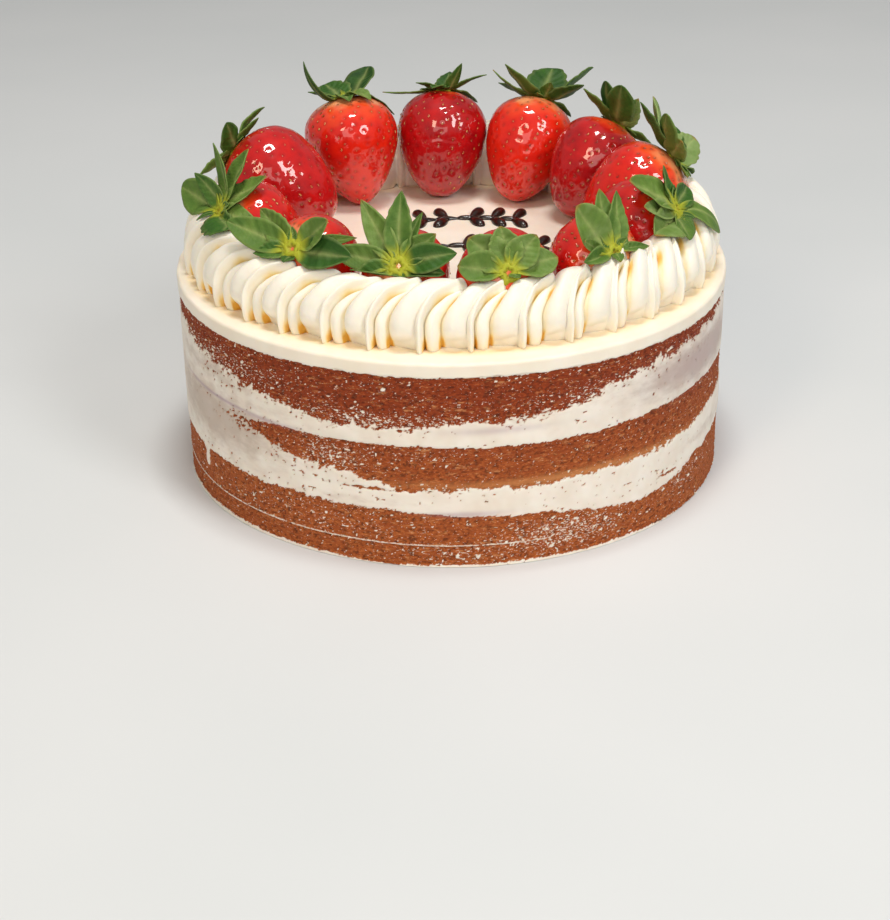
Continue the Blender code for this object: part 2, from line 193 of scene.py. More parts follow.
@dataclass
class Berry:
    """One strawberry, by the same sizes as its solid, with its ripeness and leaves.

    pale: how far the unripe orange reaches down from the leaves, as a share of the length
    dark: how deep its red is, from 0 for scarlet to 1 for crimson
    blunt: how round its tip is, from 1 for a plain cone down to 0.7
    leaves: clock angle seen from outside, length, width, lift, curl and tone of each leaf"""

    name: str
    tip: tuple
    lean: float
    facing: float
    length: float
    width: float
    pale: float
    dark: float
    blunt: float
    leaves: tuple
    outline: np.ndarray = field(default=None)

    def __post_init__(self):
        lean, facing = math.radians(self.lean), math.radians(self.facing)
        self.length *= MM
        self.width *= MM
        self.axis = Vector((math.sin(lean) * math.sin(facing), -math.sin(lean) * math.cos(facing),
                            math.cos(lean)))
        self.up = (Vector((0, 0, 1)) - self.axis * self.axis.z).normalized()
        self.right = self.up.cross(self.axis)
        angles = np.linspace(0.0, math.pi, 73)
        self.outline = np.stack((self.length * (1.0 - np.cos(angles)) / 2.0, self.radii(angles)))
        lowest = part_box("strawberry_" + self.name)[0].z
        drop = (self.outline[0] * self.axis.z - self.outline[1] * math.sin(lean)).min()
        self.origin = Vector((self.tip[0] * MM, self.tip[1] * MM, lowest - drop))
        self.hub = self.origin + self.axis * self.length * 0.985

    def radii(self, angles):
        """The fruit's radius from its tip, at 0, to its leafy end, at pi."""
        bulge = np.clip(np.sin(angles) * (1.0 - BERRY_TAPER * np.cos(angles)) / BERRY_BULGE, 0.0, 1.0)
        return self.width / 2.0 * np.where(angles < math.pi / 2, bulge ** self.blunt, bulge)

    def depth(self, points):
        """How far each point lies inside the berry, less than zero outside, and the way out."""
        offsets = points - np.array(self.origin)
        along = offsets @ np.array(self.axis)
        sides = offsets - along[:, None] * np.array(self.axis)
        radial = np.linalg.norm(sides, axis=1)
        gaps = np.hypot(along[:, None] - self.outline[0], radial[:, None] - self.outline[1])
        nearest = gaps.argmin(axis=1)
        gap = gaps[np.arange(len(points)), nearest]
        inside = (radial < np.interp(along, *self.outline)) & (along > 0.0) & (along < self.length)
        sides /= np.maximum(radial, 1e-9)[:, None]
        way = ((along - self.outline[0][nearest])[:, None] * np.array(self.axis)
               + (radial - self.outline[1][nearest])[:, None] * sides)
        way /= np.maximum(np.linalg.norm(way, axis=1), 1e-9)[:, None]
        return np.where(inside, gap, -gap), np.where(inside[:, None], -way, way)


# The last number of each leaf is its tone, which is painted light and shade: below zero for leaves that sit
# in shade, above zero for lit ones.
BERRIES = (
    Berry("front_left", (-11.0, -38.5), 61, -11, 36.5, 29.0, 0.30, 0.35, 1.00,
          ((-112, 17, 9, 8, -10, -0.2), (-80, 24, 9, 0, 10, 0.2), (-36, 25, 9, -2, 12, 0.4),
           (-5, 24, 9, 10, 4, 0.0), (14, 19, 5, -6, 10, 0.0), (44, 16, 9, 2, 10, 0.2),
           (72, 20, 10, 20, -20, -0.5), (100, 16, 8, 15, -10, -0.8))),
    Berry("front_right", (15.5, -46.0), 63, 5, 34.0, 31.5, 0.34, 0.45, 0.95,
          ((-82, 17, 12, 20, -15, 0.2), (-42, 17, 12, 2, 8, 0.4), (-4, 15, 11, 8, 5, 0.4),
           (34, 15, 11, 4, 5, 0.4), (68, 17, 12, -14, 10, 0.4))),
    Berry("right_front", (37.5, -32.0), 64, 30, 35.0, 30.5, 0.36, 0.30, 0.95,
          ((-94, 15, 8, 25, -10, 0.0), (-64, 23, 4, 28, 30, 0.3), (-42, 22, 13, 12, 5, 0.4),
           (-2, 22, 9, -14, 18, 0.2), (22, 21, 8, -5, 10, 0.1), (84, 13, 5, 5, 5, 0.0))),
    Berry("right", (45.0, -16.0), 59, 74, 38.5, 32.5, 0.25, 0.40, 0.95,
          ((-134, 18, 10, -12, 5, 0.0), (-100, 23, 15, -24, 12, 0.5), (-68, 24, 8, -18, 24, 0.6),
           (-34, 24, 14, -20, 12, 0.3), (10, 16, 9, 5, 25, -0.3), (76, 17, 9, 22, -25, -0.5),
           (130, 25, 11, 22, -28, 0.2))),
    Berry("right_back", (49.0, 8.0), 49, 98, 41.5, 33.0, 0.32, 0.25, 0.85,
          ((-112, 12, 7, -5, 5, 0.3), (-50, 17, 10, 26, 8, 0.3), (-22, 22, 12, 24, 14, 0.1),
           (6, 24, 12, 8, 12, -0.5), (34, 25, 13, 22, 12, 0.9), (66, 20, 12, 12, 5, -0.4),
           (84, 19, 11, 34, -5, -0.6), (112, 21, 12, 36, 10, 0.8), (146, 13, 8, 20, -25, -0.3))),
    Berry("back_right", (42.5, 34.5), 42, 126, 38.5, 34.5, 0.22, 0.70, 0.80,
          ((-150, 16, 9, 5, 0, -0.2), (-56, 18, 8, 36, 24, 0.5), (-30, 24, 12, 24, 10, -0.3),
           (2, 21, 12, 30, 8, -0.8), (30, 20, 12, 12, 5, 0.0), (78, 21, 12, 46, 0, 0.1),
           (128, 17, 10, 40, 0, -0.3))),
    Berry("back_mid_right", (23.0, 55.0), 32, 146, 40.5, 33.5, 0.42, 0.10, 0.82,
          ((-160, 16, 9, -5, 0, -0.5), (-118, 25, 14, 64, -8, -0.4), (-84, 20, 9, 30, 0, -0.7),
           (-46, 13, 6, 30, 5, 0.1), (12, 24, 10, 12, 12, -0.1), (60, 22, 5, 10, 20, 0.2),
           (96, 22, 9, 12, 5, -0.6), (150, 24, 15, 62, -6, -0.8))),
    Berry("back", (-4.5, 62.0), 22, 172, 40.5, 34.5, 0.08, 0.75, 0.78,
          ((-140, 18, 8, -10, 0, -0.6), (-66, 19, 4, 32, -15, -0.4), (-32, 17, 5, 40, 20, -0.3),
           (8, 13, 6, 8, -20, -0.4), (40, 14, 5, 15, -10, -0.4), (94, 24, 4, -8, 12, 0.2),
           (140, 15, 8, 20, 0, -0.7), (178, 17, 8, 45, 0, -0.8))),
    Berry("back_mid_left", (-33.5, 56.0), 15, -142, 41.5, 35.0, 0.38, 0.15, 1.06,
          ((-168, 16, 12, 26, 0, -0.6), (-112, 23, 13, 26, 8, -0.9), (-70, 22, 9, -32, -10, -0.8),
           (-18, 14, 9, 4, -40, 0.4), (30, 12, 7, 6, -30, 0.1), (80, 27, 4, 30, 58, -0.7),
           (128, 14, 7, 24, 0, -0.5))),
    Berry("back_left", (-44.0, 21.5), 58, -106, 43.5, 38.0, 0.06, 0.55, 0.78,
          ((-150, 14, 8, 5, 0, -0.2), (-100, 15, 8, 10, 0, -0.2), (-38, 21, 9, 14, -22, -0.1),
           (-12, 16, 8, -8, 5, -0.1), (44, 17, 10, 22, 12, -0.5), (124, 17, 9, 20, 0, 0.1))),
    Berry("left", (-53.5, -9.5), 57, -71, 33.0, 33.0, 0.30, 0.35, 0.95,
          ((-95, 25, 13, 24, 5, 0.1), (-64, 19, 8, 36, 30, -0.2), (-25, 25, 7, 24, 20, 0.1),
           (-8, 24, 12, 2, 8, 0.2), (26, 22, 11, -24, 12, 0.3), (76, 20, 9, -34, 18, 0.4),
           (112, 19, 12, -18, 10, -0.4))),
    Berry("left_front", (-36.0, -33.5), 55, -33, 35.5, 31.0, 0.28, 0.30, 1.00,
          ((-118, 14, 8, 10, 0, -0.2), (-82, 27, 11, 8, 5, 0.1), (-58, 20, 9, 0, 8, 0.3),
           (52, 19, 10, 22, 8, 0.3), (64, 23, 5, -12, 12, 0.4), (92, 25, 12, 14, -12, -0.7))),
)

# The chocolate ornament, by the same sizes as its solid: middle x and y, half length, pairs
SPRAYS = ((7.0, 39.0, 20.0, 5), (4.0, 9.0, 31.0, 7))
SPRAY_ARCH = 3.0 * MM
DROP_ANGLE = math.radians(62)
DROP_LENGTH = 10.4 * MM
DROP_WIDTH = 4.8 * MM
DROP_HEIGHT = 2.5 * MM
STEM_WIDTH = 3.0 * MM
STEM_HEIGHT = 1.6 * MM

# The studio: each soft light by place, width and height, power and colour
LIGHTS = {
    "key window": ((0.85, -0.95, 1.05), (0.42, 0.60), 8.6, "#FFFDFA"),
    "left window": ((-0.60, -1.10, 0.95), (0.30, 0.45), 3.8, "#FFEACB"),
    "overhead": ((0.05, -0.10, 1.5), (0.42, 0.30), 11.0, "#FFFCF8"),
    "front fill": ((-0.25, -1.70, 0.75), (1.2, 0.7), 5.0, "#FFF6EC"),
}
LIT_POINT = Vector((0.0, 0.0, 0.06))
CAMERA_PLACE = Vector((0.0, -0.6453, 0.3114))
CAMERA_PITCH, CAMERA_YAW, CAMERA_ROLL = (math.radians(angle) for angle in (26.403, 0.298, 0.804))
CAMERA_LENS = 74.63


# Small tools

SLOPES = np.random.default_rng(5).normal(size=(1024, 3))
SLOPES /= np.linalg.norm(SLOPES, axis=1)[:, None]


def linear(hex_colour):
    """An sRGB hex colour as linear red, green, blue and alpha."""
    channels = [int(hex_colour[i:i + 2], 16) / 255.0 for i in (1, 3, 5)]
    return [c / 12.92 if c <= 0.04045 else ((c + 0.055) / 1.055) ** 2.4 for c in channels] + [1.0]


def smoothstep(low, high, values):
    share = np.clip((values - low) / (high - low), 0.0, 1.0)
    return share * share * (3.0 - 2.0 * share)


def lattice(places):
    """Smooth gradient noise from about -1 to 1, with features one unit wide."""
    corner = np.floor(places).astype(np.int64)
    inner = places - corner
    blend = inner ** 3 * (inner * (inner * 6.0 - 15.0) + 10.0)
    total = np.zeros(len(places))
    for step in np.ndindex(2, 2, 2):
        x, y, z = (corner + step).T
        slopes = SLOPES[((x * 73856093) ^ (y * 19349663) ^ (z * 83492791)) & 1023]
        weight = np.where(step, blend, 1.0 - blend).prod(axis=1)
        total += weight * (slopes * (inner - step)).sum(axis=1)
    return total * 1.7


def grain(points, size, octaves=3, stretch=(1.0, 1.0, 1.0)):
    """Smooth noise from about -1 to 1 at each point, with features of the given size."""
    places = points * (np.array(stretch) / size)
    return sum(lattice(places * 2.0 ** k + 19.7 * k) * 0.57 ** k for k in range(octaves))


def spots(turns, heights, marks):
    """The strongest of some oval marks on the side: turn, height, half width, half height, strength."""
    total = np.zeros(len(turns))
    for turn, height, half_turn, half_height, strength in marks:
        away = (turns - turn + 180.0) % 360.0 - 180.0
        far = (away / half_turn) ** 2 + ((heights - height) / half_height) ** 2
        total = np.maximum(total, strength * np.exp(-far))
    return total


def turns_of(points):
    return np.degrees(np.arctan2(points[:, 0], -points[:, 1]))


def points_of(mesh):
    points = np.zeros(len(mesh.vertices) * 3)
    mesh.vertices.foreach_get("co", points)
    return points.reshape(-1, 3)


def store(mesh, name, values):
    """Keep a number for each vertex, for the materials to read."""
    attribute = mesh.attributes.new(name, "FLOAT", "POINT")
    attribute.data.foreach_set("value", np.asarray(values, np.float32))


def piece(name, mesh, material, replaces=()):
    """Put a finished mesh in the scene as a piece of the cake."""
    mesh.materials.append(material)
    item = bpy.data.objects.new(name, mesh)
    bpy.context.scene.collection.objects.link(item)
    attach(item, "root")
    if replaces:
        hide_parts(*replaces)
    return item


def mesh_from(builder, name):
    mesh = bpy.data.meshes.new(name)
    builder.to_mesh(mesh)
    builder.free()
    mesh.shade_smooth()
    return mesh


def turned(profile, steps):
    """A closed shape turned round the cake's middle from (radius, height) points, bottom first."""
    builder = bmesh.new()
    bmesh.ops.create_grid(builder, x_segments=steps, y_segments=len(profile) - 1, size=0.5)
    for vert in builder.verts:
        angle = (vert.co.x + 0.5) * 2.0 * math.pi
        radius, height = profile[round((vert.co.y + 0.5) * (len(profile) - 1))]
        vert.co = (radius * math.sin(angle), -radius * math.cos(angle), height)
    bmesh.ops.remove_doubles(builder, verts=builder.verts, dist=MERGE)
    bmesh.ops.recalc_face_normals(builder, faces=builder.faces)
    return builder


# Materials

PER_MM = 1000.0
RGBA = {"data_type": "RGBA"}
SMOOTH = {"interpolation_type": "SMOOTHSTEP"}
MULTIPLY_ADD = {"operation": "MULTIPLY_ADD"}
CREAM_GLOW = {"Subsurface_Scale": 0.0015, "Subsurface_Radius": (1.0, 0.75, 0.45), "IOR": 1.45}


def add(tree, kind, *sources, out=None, stops=(), **settings):
    """Add a shader node with its settings and give back one of its outputs, or else the first.
    The sources feed its inputs in order, each as a socket, a value, a hex colour or None for an
    input that stays as it is. stops are the places and colours along a ramp."""
    node = tree.nodes.new("ShaderNode" + kind)
    for key, value in settings.items():
        setattr(node, key, value)
    for _ in stops[2:]:
        node.color_ramp.elements.new(0.5)
    for k, (place, colour) in enumerate(stops):
        node.color_ramp.elements[k].position = place
        node.color_ramp.elements[k].color = linear(colour)
    for socket, source in zip([socket for socket in node.inputs if socket.enabled], sources):
        if isinstance(source, bpy.types.NodeSocket):
            tree.links.new(source, socket)
        elif source is not None:
            socket.default_value = linear(source) if isinstance(source, str) else source
    return node.outputs[out] if out else node.outputs[[socket.enabled for socket in node.outputs].index(True)]


def new_material(name, numbers="", **values):
    """A material with its shader, the place on the piece and the numbers that store() kept."""
    material = bpy.data.materials.new(name)
    material.use_nodes = True
    tree = material.node_tree
    shader = tree.nodes["Principled BSDF"]
    for key, value in values.items():
        shader.inputs[key.replace("_", " ")].default_value = value
    kept = [add(tree, "Attribute", out="Fac", attribute_name=number) for number in numbers.split()]
    return material, tree, add(tree, "TexCoord", out="Object"), *kept


def feed(tree, **sources):
    """Let sockets drive the shader's inputs of those names."""
    for key, source in sources.items():
        tree.links.new(source, tree.nodes["Principled BSDF"].inputs[key.replace("_", " ")])


def scraped_side_finish():
    """Baked cocoa sponge, cut and scraped bare, with buttercream dragged over it. The crumb is
    dry and open, so it is matt and mottled. The cream is dense, so it is smooth and satin."""
    material, tree, place, cover, pore, fleck, thin, jam, moist = new_material(
        "scraped sponge and buttercream", "cream pore fleck thin jam moist", Subsurface_Weight=0.12,
        Subsurface_Scale=0.001, IOR=1.45)
    level = add(tree, "SeparateXYZ", place, out="Z")
    drawn, dragged = (add(tree, "Mapping", place, None, None, (1.0, 1.0, flat)) for flat in (2.2, 3.4))
    crumb = add(tree, "TexNoise", drawn, PER_MM / 1.3, 5.0, 0.72)
    clumps = add(tree, "TexNoise", drawn, PER_MM / 6.0, 3.0, 0.55)
    fine = add(tree, "TexNoise", drawn, PER_MM / 0.9, 4.0, 0.7)
    dust = add(tree, "TexNoise", drawn, PER_MM / 1.0, 2.0, 0.6)
    marks = add(tree, "TexNoise", dragged, PER_MM / 3.4, 4.0, 0.65)
    clumped = add(tree, "MapRange", clumps, 0.40, 0.66, 0.0, 0.5, **SMOOTH)
    higher = add(tree, "MapRange", level, 22.0 * MM, 60.0 * MM, **SMOOTH)
    streaked = add(tree, "MapRange", marks, 0.56, 0.70, 0.0, 0.65, **SMOOTH)
    flecked = add(tree, "Math", fleck, 0.15, dust, **MULTIPLY_ADD)
    flecked = add(tree, "MapRange", flecked, 0.68, 0.74, 0.0, 0.85, **SMOOTH)
    sponge = add(tree, "ValToRGB", crumb, stops=(
        (0.26, "#642B0C"), (0.43, "#9A4A1B"), (0.57, "#B96027"), (0.74, "#E3935A")))
    # The pores are painted a very dark brown: painted shade in the sponge's holes.
    for share, colour, blend in ((clumped, "#A34F22", "MIX"), (higher, "#D9AE88", "MULTIPLY"),
                                 (pore, "#3E1C0B", "MIX"), (moist, "#CE8A52", "MIX"),
                                 (streaked, "#DB9860", "MIX"), (flecked, "#F3E6D6", "MIX")):
        sponge = add(tree, "Mix", share, sponge, colour, blend_type=blend, **RGBA)
    scraped = add(tree, "Math", clumps, 0.9, thin, **MULTIPLY_ADD)
    scraped = add(tree, "MapRange", scraped, 0.55, 1.35, 0.0, 0.62, **SMOOTH)
    cream = add(tree, "TexNoise", place, PER_MM / 9.0, 2.0, 0.55)
    cream = add(tree, "ValToRGB", cream, stops=((0.35, "#EDE2D4"), (0.65, "#F6EEE3")))
    cream = add(tree, "Mix", scraped, cream, "#A88F7E", **RGBA)
    film = add(tree, "Mix", 0.5, cream, "#B98C6C", **RGBA)
    ragged = add(tree, "Math", fine, 1.3, cover, **MULTIPLY_ADD)
    filmed, creamed, smooth = (add(tree, "MapRange", ragged, low, high, **SMOOTH)
                               for low, high in ((0.95, 1.15), (1.11, 1.39), (1.0, 1.4)))
    colour = sponge
    for share, top in ((filmed, film), (creamed, cream), (jam, "#A98A9C")):
        colour = add(tree, "Mix", share, colour, top, **RGBA)
    relief = add(tree, "Mix", smooth, crumb, 0.5)
    feed(tree, Base_Color=colour, Roughness=add(tree, "Math", smooth, -0.38, 0.88, **MULTIPLY_ADD),
         Normal=add(tree, "Bump", 0.8, 0.5 * MM, None, relief))
    return material


def smoothed_cream_finish():
    """Buttercream smoothed with a palette knife: dense, faintly streaked and satin."""
    material, tree, place, warm = new_material("smoothed buttercream", "warm", Roughness=0.46,
                                               Subsurface_Weight=0.25, **CREAM_GLOW)
    cream = add(tree, "TexNoise", place, PER_MM / 14.0, 2.0, 0.55)
    cream = add(tree, "ValToRGB", cream, stops=((0.35, "#F5EAD8"), (0.65, "#FAF1E2")))
    relief = add(tree, "TexNoise", place, PER_MM / 3.0, 3.0, 0.55)
    # The cream turns yellow by the border's feet: painted shade.
    feed(tree, Base_Color=add(tree, "Mix", warm, cream, "#F6D48C", **RGBA),
         Normal=add(tree, "Bump", 0.6, 0.12 * MM, None, relief))
    return material


def piped_cream_finish():
    """Buttercream piped through a wide star nozzle: soft and satin, with painted shade in amber
    in its deep folds and along its foot."""
    material, tree, place, crevice = new_material("piped buttercream", "crevice", Roughness=0.42,
                                                  Subsurface_Weight=0.3, **CREAM_GLOW)
    # The crevice number turns the cream from its own pale colour to amber: painted shade in the folds and at
    # the foot. The noise adds a little random tone.
    deep = add(tree, "TexNoise", place, PER_MM / 4.0, 2.0, 0.55)
    deep = add(tree, "Math", deep, 0.25, crevice, **MULTIPLY_ADD)
    colour = add(tree, "ValToRGB", deep, stops=(
        (0.125, "#F9F3E6"), (0.405, "#F8EED6"), (0.675, "#F5D88E"), (0.975, "#E9AE42")))
    relief = add(tree, "TexNoise", place, PER_MM / 1.6, 3.0, 0.55)
    feed(tree, Base_Color=colour, Normal=add(tree, "Bump", 0.5, 0.10 * MM, None, relief))
    return material


def berry_finish():
    """A ripe strawberry under clear fruit glaze: crimson skin that lets some light in, paler
    towards the leaves, under a thick wet coat."""
    material, tree, place, dark, shoulder, dimple = new_material(
        "glazed strawberry", "dark shoulder dimple", Roughness=0.4, Subsurface_Weight=0.12,
        Subsurface_Scale=0.0015, Subsurface_Radius=(1.0, 0.25, 0.15), Coat_Weight=1.0,
        Coat_Roughness=0.03, Coat_IOR=1.62, IOR=1.4, Specular_IOR_Level=0.15)
    mottle = add(tree, "TexNoise", place, PER_MM / 7.0, 3.0, 0.55)
    skin = add(tree, "ValToRGB", add(tree, "Math", dark, mottle),
               stops=((0.05, "#E8260F"), (0.45, "#CC1212"), (0.95, "#9C0712")))
    reach = add(tree, "Math", mottle, 0.5, shoulder, **MULTIPLY_ADD)
    orange, pale = (add(tree, "MapRange", reach, low, high, **SMOOTH)
                    for low, high in ((0.50, 1.00), (0.95, 1.30)))
    # The dimples round the seeds are painted a darker red: painted shade in the pits.
    for share, colour in ((orange, "#EE4A1E"), (pale, "#F6A26C"), (dimple, "#6E060C")):
        skin = add(tree, "Mix", share, skin, colour, **RGBA)
    relief = add(tree, "TexNoise", place, PER_MM / 1.4, 2.0, 0.55)
    waves = add(tree, "TexNoise", place, PER_MM / 6.0, 1.5, 0.4)
    feed(tree, Base_Color=skin, Normal=add(tree, "Bump", 0.5, 0.06 * MM, None, relief),
         Coat_Normal=add(tree, "Bump", 0.3, 0.6 * MM, None, waves))
    return material


def seed_finish():
    """Strawberry seeds under the same glaze: dry straw-coloured husks."""
    material, tree, place = new_material("strawberry seed", Roughness=0.4, Coat_Weight=0.8,
                                         Coat_Roughness=0.1)
    tone = add(tree, "TexNoise", place, PER_MM / 5.0, 1.0, 0.55)
    feed(tree, Base_Color=add(tree, "ValToRGB", tone, stops=(
        (0.35, "#96300F"), (0.5, "#C2702C"), (0.66, "#E3B068"))))
    return material


def leaf_finish():
    """Fresh strawberry sepals: a thin green blade with a paler rib, yellow-green at the root."""
    material, tree, place, tone, rib, root, brown, vein = new_material(
        "strawberry leaf", "tone rib root brown vein", Roughness=0.58, Subsurface_Weight=0.15,
        Subsurface_Scale=0.0006, Subsurface_Radius=(0.5, 1.0, 0.3), Specular_IOR_Level=0.3)
    mottle = add(tree, "TexNoise", place, PER_MM / 5.0, 3.0, 0.55)
    # Each leaf's tone is painted light and shade: low for leaves that sit in shade, high for lit ones, with a
    # random mottle. The palest green is a painted highlight.
    tone = add(tree, "Math", mottle, 0.5, tone, **MULTIPLY_ADD)
    green = add(tree, "ValToRGB", tone, stops=(
        (0.0, "#1A3F10"), (0.35, "#38621D"), (0.65, "#658236"), (1.0, "#98AD70")))
    root = add(tree, "MapRange", root, 0.15, 0.85, **SMOOTH)
    for share, colour in ((rib, "#B5BE78"), (root, "#A9AE2C"), (brown, "#A8712C")):
        green = add(tree, "Mix", share, green, colour, **RGBA)
    relief = add(tree, "TexNoise", place, PER_MM / 0.8, 2.0, 0.55)
    relief = add(tree, "Math", relief, 0.6, vein, **MULTIPLY_ADD)
    feed(tree, Base_Color=green, Normal=add(tree, "Bump", 0.8, 0.18 * MM, None, relief))
    return material


def chocolate_finish():
    """Dark chocolate piped while warm: set with a soft gloss."""
    material, tree, place = new_material("piped dark chocolate", Roughness=0.28, Coat_Weight=0.35,
                                         Coat_Roughness=0.15, IOR=1.5)
    tone = add(tree, "TexNoise", place, PER_MM / 4.0, 2.0, 0.55)
    relief = add(tree, "TexNoise", place, PER_MM / 1.5, 2.0, 0.55)
    feed(tree, Base_Color=add(tree, "ValToRGB", tone, stops=((0.35, "#170B08"), (0.7, "#2B1710"))),
         Normal=add(tree, "Bump", 0.5, 0.15 * MM, None, relief))
    return material


def floor_finish():
    """A matt pale studio floor."""
    material, tree, place = new_material("pale studio floor", Roughness=0.9)
    tone = add(tree, "TexNoise", place, PER_MM / 180.0, 2.0, 0.55)
    feed(tree, Base_Color=add(tree, "ValToRGB", tone, stops=((0.3, "#D9DDDF"), (0.7, "#DEE1E3"))))
    return material


# The scraped side

def side_waver(turns):
    """How far the scraped side wanders in and out round the cake."""
    angles = np.radians(turns)
    return SIDE_WAVER * (np.sin(3.0 * angles + 0.4) + 0.6 * np.sin(7.0 * angles + 1.9)) / 1.6


def bareness(turns, heights):
    """How bare the sponge is on the side: above zero where it shows, less than zero under cream."""
    bare = np.full(len(turns), -9.0)
    for band in BARE_BANDS.values():
        marks = np.array(band["marks"], float)
        soft_bottom, soft_top = band["soft"]
        above = (heights - np.interp(turns, marks[:, 0], marks[:, 1])) / soft_bottom
        below = (np.interp(turns, marks[:, 0], marks[:, 2]) - heights) / soft_top
        bare = np.maximum(bare, np.minimum(above, below))
    bare = np.clip(bare, -2.5, 2.5) + 1.4 * spots(turns, heights, BARE_PATCHES)
    return bare - 1.6 * spots(turns, heights, CREAM_DABS)


def dress_side(mesh, faint):
    """Move the wall of a layer to its scraped shape and keep what its finish needs. faint is the
    turn at the middle of the stretch where a layer's thin line of cream shows, or None."""
    points = points_of(mesh)
    radii = np.hypot(points[:, 0], points[:, 1])
    turns, heights = turns_of(points), points[:, 2] / MM
    wall = radii > SIDE_RADIUS - MERGE
    on_wall = points[wall]
    t, z = turns[wall], heights[wall]
    ragged = grain(on_wall, 6.0 * MM, 4, (1, 1, 2.0))
    fine = grain(on_wall, 1.3 * MM, 2, (1, 1, 1.6))
    pores = smoothstep(0.22, 0.60, grain(on_wall + 7.0, 1.5 * MM, 2, (1, 1, 1.5)))
    bare = bareness(t, z)
    if faint is not None:
        away = np.abs(z - (z.max() + z.min()) / 2.0) / THIN_LINE_SOFT
        bare = 0.6 - 2.4 * np.cos(np.radians(t - faint)) + 0.5 * np.abs(np.sin(np.radians(t) * 2.0)) + away
    cream = smoothstep(-0.50, 0.50, -(bare + 0.75 * ragged + 0.65 * fine))
    fleck_room = spots(t, z, FLECKS)
    fleck = grain(on_wall + 11.0, 1.7 * MM, 2, (1, 1, 1.5)) - (0.80 - 0.48 * fleck_room)
    fleck = smoothstep(0.0, 0.14, fleck)
    cream = np.maximum(cream, 0.85 * fleck * (bare > -0.5))
    torn = grain(on_wall + 23.0, 1.8 * MM, 2, (1, 1, 1.5)) - 0.75 + 0.62 * spots(t, z, TORN_CREAM)
    torn = smoothstep(0.0, 0.16, torn)
    cream *= (1.0 - 0.8 * torn) * (1.0 if faint is None else 0.66)
    crumb = grain(on_wall + 5.0, 1.2 * MM, 2)
    relief = cream * CREAM_PROUD - (1.0 - cream) * (SPONGE_SUNK + PORE_DEPTH * pores - 0.12 * MM * crumb)
    relief += 0.06 * MM * grain(on_wall, 14.0 * MM, 2, (1, 1, 2.5))
    out = (SIDE_RADIUS + side_waver(t) + relief) / radii[wall]
    points[wall, 0] *= out
    points[wall, 1] *= out
    mesh.vertices.foreach_set("co", points.ravel())
    # The pore number darkens the sponge in its holes: painted shade.
    for name, values in (("cream", cream), ("pore", pores * 0.6), ("fleck", fleck_room),
                         ("thin", spots(t, z, THIN_CREAM)), ("jam", spots(t, z, JAM_STAINS) * 0.75),
                         ("moist", spots(t, z, MOIST_EDGE) * 0.8)):
        whole = np.zeros(len(points))
        whole[wall] = values
        store(mesh, name, whole)


def build_layers(material):
    names = ["sponge_base", "filling_thin", "sponge_low", "filling_low", "sponge_middle", "filling_high",
             "sponge_high"]
    bottoms = [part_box(name)[0].z for name in names] + [RIM_BOTTOM]
    for name, bottom, top in zip(names, bottoms, bottoms[1:]):
        rows = max(2, round((top - bottom) / ROW_HEIGHT))
        wall = [(SIDE_RADIUS, bottom + (top - bottom) * k / rows) for k in range(rows + 1)]
        inside = SIDE_RADIUS - SHELF
        mesh = mesh_from(turned([(0.0, bottom), (inside, bottom)] + wall + [(inside, top), (0.0, top)],
                                SIDE_STEPS), name)
        dress_side(mesh, THIN_LINE_TURN if name == "filling_thin" else None)
        mesh.set_sharp_from_angle(angle=SHARP_ANGLE)
        piece("cake_" + name, mesh, material, (name,))


# The smooth coat on the top

def build_top_coat(material):
    """The smoothed top, with its crisp rim and the faint marks of the palette knife."""
    rim_height = COAT_TOP - RIM_ROUND - RIM_BOTTOM
    profile = [(0.0, RIM_BOTTOM), (COAT_RADIUS - SHELF, RIM_BOTTOM)]
    profile += [(COAT_RADIUS, RIM_BOTTOM + rim_height * k / RIM_ROWS) for k in range(RIM_ROWS + 1)]
    profile += [(COAT_RADIUS - RIM_ROUND * (1.0 - math.cos(a)), COAT_TOP - RIM_ROUND * (1.0 - math.sin(a)))
                for a in (0.4, 0.8, 1.2, math.pi / 2)]
    profile += [((COAT_RADIUS - RIM_ROUND) * (1.0 - k / COAT_ROWS), COAT_TOP)
                for k in range(1, COAT_ROWS + 1)]
    mesh = mesh_from(turned(profile, COAT_STEPS), "top_coat")
    points = points_of(mesh)
    radii = np.hypot(points[:, 0], points[:, 1])
    turns = turns_of(points)
    streaks = grain(np.stack((radii, np.radians(turns) * 20.0 * MM, radii * 0.0), 1), 7.0 * MM, 3)
    outer = radii > COAT_RADIUS - 1.5 * MM
    edge = side_waver(turns) + 0.16 * MM * grain(points, 9.0 * MM, 3)
    lower_edge = (points[:, 2] < RIM_BOTTOM + 0.6 * MM) & outer
    points[outer, :2] *= (1.0 + edge[outer] / COAT_RADIUS)[:, None]
    points[lower_edge, 2] += 0.45 * MM * grain(points[lower_edge], 4.0 * MM, 3)
    on_top = points[:, 2] > COAT_TOP - 0.1 * MM
    points[on_top, 2] += 0.07 * MM * streaks[on_top]
    mesh.vertices.foreach_set("co", points.ravel())
    # A yellow tint on the top along the border's inner and outer feet: painted shade where the border meets
    # the coat.
    inner_foot = border_middle(np.radians(turns)) - BORDER_HALF_WIDTH
    outer_foot = inner_foot + 2.0 * BORDER_HALF_WIDTH - 1.5 * MM
    near = np.minimum(np.abs(radii - inner_foot), np.abs(radii - outer_foot))
    warm = np.exp(-(near / (2.2 * MM)) ** 2) * (0.45 + 0.35 * streaks) * on_top
    store(mesh, "warm", np.clip(warm, 0.0, 0.8))
    piece("smoothed_top_coat", mesh, material, ("top_coat",))


# The piped border

